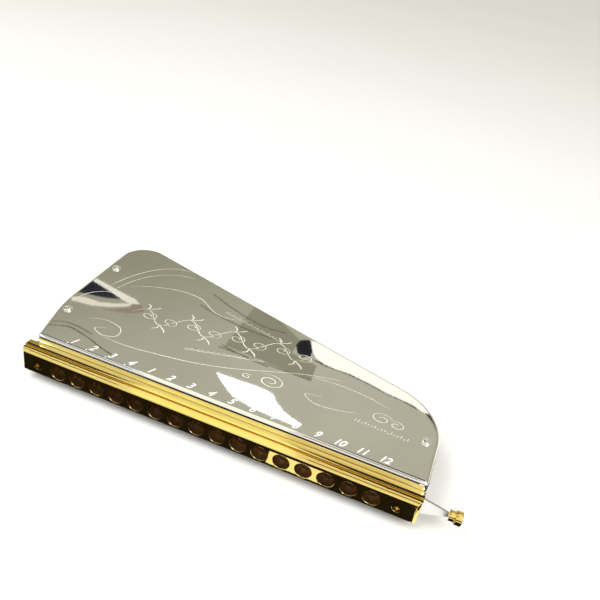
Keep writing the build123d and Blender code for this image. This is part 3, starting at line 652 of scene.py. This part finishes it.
def mouthpiece():
    """Gold mouthpiece: flat band, groove and rounded lip, holes with soft rims, slide channel."""
    shell = Shell()
    openings = lip(shell)
    band(shell)
    mouthpiece_ends(shell)
    mouthpiece_back(shell, openings)
    obj = shell.build("mouthpiece_body")
    finished(obj, MATERIALS["gold_plate"], "gold_plate", BODY, "mouthpiece")
    # second material: the bores and channel floor, darkened with painted shade
    obj.data.materials.append(SHADED_BORE)


# ---- Button and screws ---------------------------------------------------------------
def softened(points, radius, steps=4):
    """Profile whose corners between its two ends are rounded, each reaching radius either way."""
    out = [Vector(points[0])]
    for before, corner, after in zip(points, points[1:], points[2:]):
        before, corner, after = Vector(before), Vector(corner), Vector(after)
        start = corner + (before - corner).normalized() * radius
        end = corner + (after - corner).normalized() * radius
        for i in range(steps + 1):
            t = i / steps
            out.append((1 - t) ** 2 * start + 2 * t * (1 - t) * corner + t**2 * end)
    return out + [Vector(points[-1])]


def button():
    """Gold slide button: body, collar groove and wider cap with soft edges."""
    low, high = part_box("slide_button")
    start, end = low.x / MM, high.x / MM
    y, z = (low.y + high.y) / 2 / MM, (low.z + high.z) / 2 / MM
    cap = (high.z - low.z) / 2 / MM
    body_length = 2.7
    body_end = start + body_length
    body = 2.3
    neck = 0.35              # groove between body and cap
    dish = 0.25              # depth of the cap's hollow end
    dish_rim = 0.7
    edge = 0.16
    profile = [
        (start, 0),
        (start, body),
        (body_end - neck, body),
        (body_end - neck, body - neck),
        (body_end, body - neck),
        (body_end, cap),
        (end - dish, cap),
        (end, cap - dish_rim),
        (end - dish, 0),
    ]
    steps = 64
    turns = [tau * i / steps for i in range(steps)]
    shell = Shell()
    rows = []
    for x, r in softened(profile, edge):
        rows.append([(x, y + r * cos(a), z + r * sin(a)) for a in turns])
    for row, other in zip(rows, rows[1:]):
        shell.strip(row, other, closed=True)
    finished(shell.build("button_turned"), MATERIALS["gold_plate"], "gold_plate", SLIDER, "slide_button")


HEAD_RADIUS = 2.3


def step_down(value, slope):
    """0 below zero, 1 above slope, and a straight line between."""
    return min(max(value / slope, 0), 1)


def screw_height(x, y):
    """Height of a cover screw's domed head at x, y from its centre, with a cross recess."""
    rim = 0.3
    crown = 1.1
    flatness = 2.4
    away = min(sqrt(x * x + y * y) / HEAD_RADIUS, 1.0)
    dome = rim + (crown - rim) * sqrt(max(1 - away**flatness, 0))
    arm_half = 0.27
    arm_length = 1.15
    depth = 0.55
    side_slope = 0.1
    end_slope = 0.22
    across_arm = arm_half - min(abs(x), abs(y))
    along_arm = arm_length - max(abs(x), abs(y))
    return dome - depth * step_down(across_arm, side_slope) * step_down(along_arm, end_slope)


def cover_screws():
    """Three domed screws with cross recesses, each with its shank."""
    shank = 1.25
    rings = 26
    steps = 96
    heading = 0.5            # where the first point of each ring lies
    shell = Shell()
    for cx, cy in COVER_SCREW_SPOTS:
        turns = [tau * i / steps + heading for i in range(steps)]
        rows = []
        for ring in range(rings + 1):
            r = HEAD_RADIUS * sin(pi / 2 * ring / rings)
            row = []
            for a in turns:
                x, y = r * cos(a), r * sin(a)
                row.append((cx + x, cy + y, TOP + screw_height(x, y)))
            rows.append(row)
        for r, z in ((HEAD_RADIUS, TOP), (shank, TOP), (shank, COVER_SHEET)):
            rows.append([(cx + r * cos(a), cy + r * sin(a), z) for a in turns])
        rows.append([(cx, cy, COVER_SHEET)] * steps)
        for row, other in zip(rows, rows[1:]):
            shell.strip(row, other, closed=True)
    finished(shell.build("domed_screws", 50), MATERIALS["screw_steel"], "screw_steel", BODY, "cover_screws")


def spring():
    """Hairpin spring, copied in steel from the CAD part; on the harmonica it closes when the slide is
    pressed.
    """
    source = frame["nodes"]["slide_spring"]
    mesh = source.data.copy()
    mesh.transform(source.matrix_world)
    mesh.materials.clear()
    mesh.materials.append(MATERIALS["steel"])
    obj = bpy.data.objects.new("hairpin_spring", mesh)
    bpy.context.scene.collection.objects.link(obj)
    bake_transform(obj)
    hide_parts("slide_spring")


# ---- Engraving: scrolls of no meaning, and the hole numbers --------------------------
ENGRAVED_Z = TOP + 0.012     # engraving lies just proud of the chrome


def smooth_line(points, steps=14):
    """Catmull-Rom line through the points."""
    points = [Vector(p) for p in points]
    ends = [2 * points[0] - points[1]] + points + [2 * points[-1] - points[-2]]
    line = []
    for a, b, c, d in zip(ends, ends[1:], ends[2:], ends[3:]):
        for i in range(steps):
            t = i / steps
            line.append(0.5 * (2 * b + (c - a) * t + (2 * a - 5 * b + 4 * c - d) * t**2
                               + (3 * b - a - 3 * c + d) * t**3))
    return line + [points[-1]]


def stroke(shell, line, width):
    """Engraved hairline, thinner along the pen's edge and at its ends."""
    pen_x, pen_y = 0.5, 0.87
    full = 0.65                  # share of the width to each side, where the line is widest
    thin, broad = 0.55, 0.45     # share of it along the pen's edge, and what its broad side adds
    tip, middle = 0.12, 0.88     # share of it at the ends, and what the middle adds
    shortest = 1e-6
    left, right = [], []
    last = len(line) - 1
    for i, place in enumerate(line):
        ahead = line[min(i + 1, last)] - line[max(i - 1, 0)]
        if ahead.length < shortest:
            continue
        ahead.normalize()
        nib = thin + broad * abs(ahead.x * pen_x - ahead.y * pen_y)
        half = width * full * nib * (tip + middle * sin(pi * i / last) ** 0.5)
        aside = Vector((-ahead.y, ahead.x)) * half
        left.append((*(place + aside), ENGRAVED_Z))
        right.append((*(place - aside), ENGRAVED_Z))
    shell.strip(left, right)


def spiral(centre, start, radius, turns, shrink=0.82, squash=0.7):
    """Scroll that winds in about centre, wider than it is tall."""
    steps_per_turn = 26
    steps = int(steps_per_turn * abs(turns))
    line = []
    for i in range(steps + 1):
        t = i / steps
        a = start + tau * turns * t
        r = radius * (1 - shrink * t)
        line.append(Vector((centre[0] + r * cos(a), centre[1] + r * squash * sin(a))))
    return line


def winding_stem(shell):
    """Winding stem with a tendril and two leaves at each bend."""
    bends = 8
    steps = 8
    start_x, start_y = -66, 33
    pitch = 11.4
    climb = 1.6
    swing = 5.2
    tendril_radius = 4.6
    tendril_turns = 1.45
    leaf_spread = 3.6        # each leaf's reach either side of a line ahead of its crest
    leaf_rise = 4.4
    stem = []
    for i in range(bends * steps + 1):
        t = i / steps
        stem.append(Vector((start_x + pitch * t, start_y + climb * t + swing * sin(pi * t))))
    stroke(shell, stem, 0.42)
    for i in range(bends):
        t = i + 0.5
        up = 1 if i % 2 == 0 else -1
        crest = Vector((start_x + pitch * t, start_y + climb * t + swing * up))
        centre = crest + Vector((3.2, -tendril_radius * up))
        stroke(shell, spiral(centre, 1.9 * up, tendril_radius, -tendril_turns * up), 0.34)
        for lean in (-1, 1):
            tip = crest + Vector((leaf_spread * lean + 1.5, leaf_rise * up))
            belly = (crest + tip) / 2 + Vector((1.1, 0.3 * up))
            stroke(shell, smooth_line([crest, belly, tip], 8), 0.55)


def scrolls():
    """Sweeping scrollwork of no meaning over the middle of the top cover."""
    shell = Shell()
    sweeps = [
        ([(-88, 46), (-84, 60), (-77, 73), (-68, 81), (-58, 83.5)], 0.34),
        ([(-84, 45), (-80, 58), (-73, 69), (-63, 76), (-54, 78)], 0.26),
        ([(-79, 52), (-67, 59), (-54, 63), (-42, 62), (-31, 55), (-22, 54), (-12, 58)], 0.36),
        ([(-95, 24), (-93, 34), (-86, 41), (-76, 43)], 0.34),
        ([(-80, 17), (-72, 20), (-63, 18), (-61, 12), (-67, 9), (-73, 12), (-68, 15)], 0.36),
        ([(-66, 8), (-52, 8), (-38, 10), (-22, 13), (-6, 18), (10, 25), (28, 33), (46, 38)], 0.42),
        ([(40, 22), (32, 20), (38, 16), (48, 17), (58, 20)], 0.3),
        ([(30, 33), (44, 34), (58, 33), (70, 30)], 0.26),
    ]
    for points, width in sweeps:
        stroke(shell, smooth_line(points), width)
    stroke(shell, spiral((15, 19.5), 2.4, 7.0, -1.7), 0.46)
    stroke(shell, spiral((4, 17.5), 0.6, 2.6, 1.3), 0.4)
    winding_stem(shell)

    # three rows of short slanting cuts, as a border below the stem and a panel at the right
    borders = [
        ((-30, 19.5), (36, 0.30), 40),
        ((-26, 57.5), (34, -0.24), 26),
        ((57, 14.5), (24, -0.04), 17),
    ]
    height, variation, rhythm = 1.9, 0.7, 2.4
    slant = 0.9
    bow = Vector((0.25, 0))
    for (x, y), (length, slope), count in borders:
        for i in range(count):
            t = i / (count - 1)
            foot = Vector((x + length * t, y + slope * length * t))
            lean = Vector((slant, height + variation * sin(rhythm * i)))
            stroke(shell, [foot, foot + lean * 0.5 + bow, foot + lean], 0.34)
    stroke(shell, spiral((68, 22), 0.3, 5.4, 1.5), 0.36)
    stroke(shell, spiral((75, 21), 2.6, 4.2, -1.4), 0.34)
    finished(shell.build("scroll_engraving", smooth=False), LINE, "cover_chrome", BODY)


def hole_numbers():
    """Numbers over the holes: one to four with dots beneath, then one to twelve."""
    size = 5.3
    dotted = 4
    foot_y = -3.1
    lift = 0.003             # keeps the numbers clear of the dots and the scrolls
    dot_aside, dot_below = 1.6, 0.75
    dot_radius = 0.36
    dot_steps = 20
    for i, x in enumerate(HOLE_X):
        number = i + 1 if i < dotted else i + 1 - dotted
        data = bpy.data.curves.new(f"number_{i + 1}", "FONT")
        data.body = str(number)
        data.size = size * MM
        data.shear = 0.45
        data.offset = 0.0001
        data.space_character = 0.92
        data.align_x = "CENTER"
        text = bpy.data.objects.new(f"number_{i + 1}", data)
        text.location = (x * MM, foot_y * MM, (ENGRAVED_Z + lift) * MM)
        bpy.context.scene.collection.objects.link(text)
        bpy.context.view_layer.update()
        mesh = bpy.data.meshes.new_from_object(text)
        place = text.matrix_world.copy()
        bpy.data.objects.remove(text)
        mesh.transform(place)
        obj = bpy.data.objects.new(f"hole_number_{i + 1}", mesh)
        bpy.context.scene.collection.objects.link(obj)
        mesh.materials.clear()
        finished(obj, FROST, "cover_chrome", BODY)
        if i < dotted:
            dot = Shell()
            dot_at = (x - dot_aside, foot_y - dot_below)
            dot.fill(circle(dot_at, dot_radius, ENGRAVED_Z, dot_steps))
            finished(dot.build(f"number_dot_{i + 1}", smooth=False), FROST, "cover_chrome", BODY)


# ---- Camera, floor and light ---------------------------------------------------------
CAMERA_AT = Vector((0.0785, -0.2049, 0.2170))


def make_camera():
    """Camera above the player's right, turned and rolled as the view asks."""
    data = bpy.data.cameras.new("camera")
    data.sensor_width = 36.0
    data.lens = 39.5
    data.clip_start = 0.01
    camera = bpy.data.objects.new("camera", data)
    heading = Matrix.Rotation(radians(14.26), 4, "Z")
    tilt = Matrix.Rotation(radians(90 - 32.49), 4, "X")
    roll = Matrix.Rotation(radians(10.97), 4, "Z")
    camera.matrix_world = Matrix.Translation(CAMERA_AT) @ heading @ tilt @ roll
    bpy.context.scene.collection.objects.link(camera)
    bpy.context.scene.camera = camera
    bpy.context.scene.view_settings.view_transform = "Standard"


def flat_mesh(name, corners):
    """One flat face, in metres."""
    mesh = bpy.data.meshes.new(name)
    mesh.from_pydata([tuple(c) for c in corners], [], [list(range(len(corners)))])
    obj = bpy.data.objects.new(name, mesh)
    bpy.context.scene.collection.objects.link(obj)
    return obj


def make_floor():
    """Plain pale floor."""
    size = 3.0
    z = -0.0002
    floor = flat_mesh("floor", [(-size, -size, z), (size, -size, z), (size, size, z), (-size, size, z)])
    paint = Paint("floor")
    paint.ramp(paint.noise(3, 2), [(0.3, (0.86, 0.86, 0.85)), (0.7, (0.88, 0.88, 0.87))], "Base Color")
    paint.shader.inputs["Roughness"].default_value = 0.9
    paint.shader.inputs["Specular IOR Level"].default_value = 0.1
    floor.data.materials.append(paint.material)


def card(name, corners, color, strength=1.0):
    """Glowing card that only mirrors see: a painted reflection, bright like a reflector or dark like a
    flag.
    """
    obj = flat_mesh(name, corners)
    material = bpy.data.materials.new(name)
    material.use_nodes = True
    nodes, links = material.node_tree.nodes, material.node_tree.links
    nodes.clear()
    glow = nodes.new("ShaderNodeEmission")
    glow.inputs["Color"].default_value = (*color, 1)
    glow.inputs["Strength"].default_value = strength
    out = nodes.new("ShaderNodeOutputMaterial")
    links.new(glow.outputs["Emission"], out.inputs["Surface"])
    obj.data.materials.append(material)
    obj.visible_camera = False
    obj.visible_diffuse = False
    obj.visible_shadow = False
    obj.visible_transmission = False
    obj.visible_volume_scatter = False


def card_over(name, spots, height, color, strength=1.0):
    """Card that the flat top cover mirrors at the given spots on it, in millimetres."""
    mirror_z = TOP * MM
    below = Vector((CAMERA_AT.x, CAMERA_AT.y, 2 * mirror_z - CAMERA_AT.z))
    reach = (height - below.z) / (mirror_z - below.z)
    corners = [below + (Vector((x * MM, y * MM, mirror_z)) - below) * reach for x, y in spots]
    card(name, corners, color, strength)


def card_before(name, spots, height, color, strength=1.0):
    """Card that the lip's upper round mirrors at the spots, each (X in mm, degrees from level)."""
    corners = []
    for x, degrees_down in spots:
        reach = LIP_FLAT + LIP_RADIUS * radians(90 - degrees_down)
        y, z = lip_point(reach)
        place = Vector((x, y, MID + z)) * MM
        normal = lip_normal(reach)
        sight = CAMERA_AT - place
        mirrored = 2 * normal.dot(sight) * normal - sight
        corners.append(place + mirrored * (height - place.z) / mirrored.z)
    card(name, corners, color, strength)


def facing_band(name, low_x, high_x, start, end, height, color, strength=1.0):
    """Card that the lip mirrors between two places along it and two slopes in degrees."""
    steps = 8
    slopes = [start + (end - start) * i / steps for i in range(steps + 1)]
    spots = [(low_x, slope) for slope in slopes] + [(high_x, slope) for slope in reversed(slopes)]
    card_before(name, spots, height, color, strength)


def cover_reflections():
    """Painted reflections in the flat top cover: the lamp, a pale cloth, an open case and folds."""
    star = [(-9, 12.5), (-4, 12.5), (3, 12.7), (10, 13), (15.7, 12.8), (19.5, 11.9), (22.5, 8.1),
            (27.3, 4.3), (32.5, 1.9), (37.6, 0.6), (35, -1.7), (30, -1.3), (23.4, -1.2), (16, -0.5),
            (8.8, 0.8), (3.7, 2.3), (-1.5, 6.1)]
    card_over("lamp_card", star, 0.50, (1, 1, 0.99), 3.0)
    wedge = [(21, 60), (32, 60), (60, 56), (90, 46), (90, 37), (86, 36.5), (83.3, 36.3),
             (78.4, 38.9), (72.5, 39.4), (65.8, 40.3), (57, 42.7), (46.3, 44.7), (38.7, 44.4),
             (32.8, 45.2), (27.8, 47.6), (24, 52.6)]
    card_over("cloth_card", wedge, 0.44, (0.98, 0.98, 0.86), 1.25)
    edge = [(26, 45.6), (33, 43.9), (46, 43.7), (57, 41.8), (66, 39.4), (73, 38.7), (84, 36),
            (84, 37), (66, 41), (46, 45), (33, 46)]
    card_over("cloth_edge", edge, 0.45, (0.04, 0.04, 0.035))
    shadow = [(15.6, 52), (16, 57), (20, 60), (22, 57), (24.5, 52), (25, 47), (21.5, 44.6), (18.5, 46.5)]
    card_over("cloth_shadow", shadow, 0.43, (0.02, 0.02, 0.025))
    corner = [(84, 37.5), (90, 31), (94, 23), (96, 12), (100, 12), (100, 45), (88, 45)]
    card_over("corner_shadow", corner, 0.45, (0.05, 0.05, 0.05))
    patch = [(-99, 46), (-82.4, 41.5), (-76, 39.3), (-84.3, 35.5), (-99, 32.5)]
    card_over("case_patch", patch, 0.42, (0.025, 0.025, 0.035))
    far_edge = [(-99, 49), (-84, 45.6), (-70.1, 43), (-66, 40.4), (-70, 38.2), (-76, 39), (-82, 41.3),
                (-99, 46)]
    card_over("case_edge_far", far_edge, 0.43, (0.88, 0.86, 0.74))
    near_edge = [(-99, 27), (-92, 30.9), (-83, 31.2), (-76, 34.5), (-69, 39.4), (-70, 35.4),
                 (-77, 30), (-85, 26.5), (-95, 25)]
    card_over("case_edge_near", near_edge, 0.43, (0.85, 0.8, 0.66))
    blush = [(-72, 40), (-65, 40), (-61, 36.5), (-64, 32), (-71, 28.5), (-79, 26.5), (-74, 30.5),
             (-68, 35.5)]
    card_over("case_blush", blush, 0.46, (0.34, 0.26, 0.20))
    wall = [(-15.6, 79), (-4, 71), (16, 57), (16, 45), (30, 42), (31.5, 29.8), (-14.5, 33)]
    card_over("wall_shade", wall, 0.52, (0.30, 0.285, 0.2))
    lines = [
        [(-39.4, 70.1), (-23.0, 62.9), (-4.9, 57.6), (8, 58.6)],
        [(-40, 57), (-26, 53), (-8, 50.5), (4, 50.6)],
        [(-15.7, 32.3), (-2.3, 29.8), (10.1, 28.7)],
        [(-16.6, 30.4), (8.0, 30.3), (31.4, 30.0)],
        [(-94, 2.5), (-90, 3.5), (-82.7, 6.3), (-71.8, 4.1), (-62.6, 0.9), (-54.9, -1.2)],
        [(-96, 2), (-89.4, 7.8), (-81.8, 8.8), (-71.2, 7.2)],
    ]
    thick = Vector((0.12, 0.62))
    for i, points in enumerate(lines):
        line = smooth_line(points, 6)
        near = [tuple(p - thick / 2) for p in line]
        far = [tuple(p + thick / 2) for p in line]
        card_over(f"fold_line_{i}", near + far[::-1], 0.41, (0.09, 0.085, 0.06))


def level_card(name, low_x, high_x, low_y, high_y, z, color):
    """Level card over the floor, in metres."""
    card(name, [(low_x, low_y, z), (high_x, low_y, z), (high_x, high_y, z), (low_x, high_y, z)], color)


def upright_card(name, low_x, high_x, y, low_z, high_z, color):
    """Upright card across the view, in metres."""
    card(name, [(low_x, y, low_z), (high_x, y, low_z), (high_x, y, high_z), (low_x, y, high_z)], color)


def lip_reflections():
    """Painted reflections in the lip and the front face: dark cloth below, which also stands in for shade,
    and pale sheets above.
    """
    low_x, high_x = -0.125, 0.094
    cloth_end = -0.30        # Y of the cloth's edge nearest the player
    cloth_z = 0.0004
    # dark cards that only mirrors see: painted reflection of a dark cloth, standing in for shade on the
    # front face, the holes and the button
    dark = (0.014, 0.011, 0.009)
    level_card("front_cloth", low_x, high_x, cloth_end, -0.0065, cloth_z, dark)
    upright_card("front_wall", low_x, high_x, -0.0255, 0, 0.0188, dark)
    upright_card("far_wall", -1.0, 0.5, cloth_end, cloth_z, 0.10, dark)
    level_card("button_cloth", 0.106, 0.19, -0.06, 0.05, cloth_z, dark)
    left = [(-100, 1.5), (-30, 1.5), (-45, 7), (-60, 11), (-100, 14)]
    card_before("shade_left", left, 0.40, (0.05, 0.035, 0.02))
    right = [(32, 2), (60, 1.5), (100, 1.5), (100, 15), (80, 14), (60, 10), (45, 6)]
    card_before("shade_right", right, 0.40, (0.03, 0.02, 0.015))
    facing_band("sheet_left", -100, -38, 2, 48, 0.45, (0.86, 0.85, 0.82))
    facing_band("sheet_middle", -38, 40, 2, 48, 0.45, (1.10, 1.11, 0.93))
    facing_band("sheet_right", 40, 100, 2, 48, 0.45, (0.86, 0.80, 0.72))
    facing_band("line_left", -100, -44, 25, 33, 0.41, (0.10, 0.08, 0.05))
    facing_band("line_right", 45, 100, 28, 35, 0.41, (0.10, 0.07, 0.04))
    # pale card before holes eleven to thirteen: painted glints on their rims
    paper = [(0.027, -0.0195, 0.0008), (0.0525, -0.0195, 0.0008), (0.0525, -0.0250, 0.0078),
             (0.027, -0.0250, 0.0078)]
    card("paper_card", paper, (1, 0.97, 0.88), 1.1)


def area_light(name, at, aim, size, power):
    """Soft rectangular light at a place, aimed at a point."""
    data = bpy.data.lights.new(name, "AREA")
    data.shape = "RECTANGLE"
    data.size, data.size_y = size
    data.energy = power
    light = bpy.data.objects.new(name, data)
    light.location = at
    light.rotation_euler = (Vector(aim) - Vector(at)).to_track_quat("-Z", "Y").to_euler()
    bpy.context.scene.collection.objects.link(light)


def make_world():
    """Soft room: bright in front and overhead, warm grey behind the object, darker at its left."""
    world = bpy.data.worlds.new("room")
    world.use_nodes = True
    bpy.context.scene.world = world
    nodes, links = world.node_tree.nodes, world.node_tree.links
    direction = nodes.new("ShaderNodeTexCoord")
    split = nodes.new("ShaderNodeSeparateXYZ")
    links.new(direction.outputs["Generated"], split.inputs["Vector"])
    rear = color_ramp(nodes, links, split.outputs["Z"], [
        (0.0, (0.82, 0.82, 0.80)),
        (0.25, (0.62, 0.61, 0.54)),
        (0.42, (0.34, 0.33, 0.23)),
        (0.52, (0.37, 0.36, 0.26)),
        (0.62, (0.50, 0.49, 0.39)),
        (0.72, (0.48, 0.46, 0.36)),
        (0.88, (0.80, 0.80, 0.74)),
        (1.0, (1.05, 1.05, 1.02)),
    ])
    front = color_ramp(nodes, links, split.outputs["Z"], [
        (0.0, (0.82, 0.82, 0.80)),
        (0.35, (0.95, 0.94, 0.90)),
        (1.0, (1.05, 1.05, 1.02)),
    ])
    turn = nodes.new("ShaderNodeMapRange")
    turn.interpolation_type = "SMOOTHSTEP"
    turn.inputs["From Min"].default_value = -0.25
    turn.inputs["From Max"].default_value = 0.35
    links.new(split.outputs["Y"], turn.inputs["Value"])
    mix = nodes.new("ShaderNodeMix")
    mix.data_type = "RGBA"
    links.new(turn.outputs["Result"], mix.inputs["Factor"])
    links.new(front, mix.inputs["A"])
    links.new(rear, mix.inputs["B"])
    aside = nodes.new("ShaderNodeMapRange")
    aside.inputs["From Min"].default_value = -0.6
    aside.inputs["From Max"].default_value = 0.2
    links.new(split.outputs["X"], aside.inputs["Value"])
    tone = color_ramp(nodes, links, aside.outputs["Result"], [
        (0.0, (0.80, 0.80, 0.78)),
        (0.3, (0.92, 0.92, 0.91)),
        (0.6, (1.05, 1.05, 1.05)),
        (1.0, (0.95, 0.93, 0.91)),
    ])
    toned = nodes.new("ShaderNodeMix")
    toned.data_type = "RGBA"
    toned.blend_type = "MULTIPLY"
    toned.inputs["Factor"].default_value = 1.0
    links.new(mix.outputs["Result"], toned.inputs["A"])
    links.new(tone, toned.inputs["B"])
    links.new(toned.outputs["Result"], nodes["Background"].inputs["Color"])
    nodes["Background"].inputs["Strength"].default_value = 1.0


# ---- The scene -----------------------------------------------------------------------
for part in frame["record"]["subparts"]:
    for place in frame["nodes"][part["node"]].material_slots:
        # the slide housing takes the dark sheet with painted shade
        place.material = SHADED_HOUSING if part["node"] == "slide_housing" else MATERIALS[part["material_slot"]]

make_camera()
make_floor()
make_world()
cover_reflections()
lip_reflections()
area_light("key", (-0.45, -0.45, 0.95), (0, 0.03, 0), (0.7, 0.7), 9)
area_light("fill", (0.75, -0.45, 0.8), (0, 0.03, 0), (0.6, 0.6), 5)

cover("top_cover", 1, SCREW_HOLE_RADIUS)
cover("bottom_cover", -1, NUT_HOLE_RADIUS)
mouthpiece()
button()
cover_screws()
spring()
scrolls()
hole_numbers()
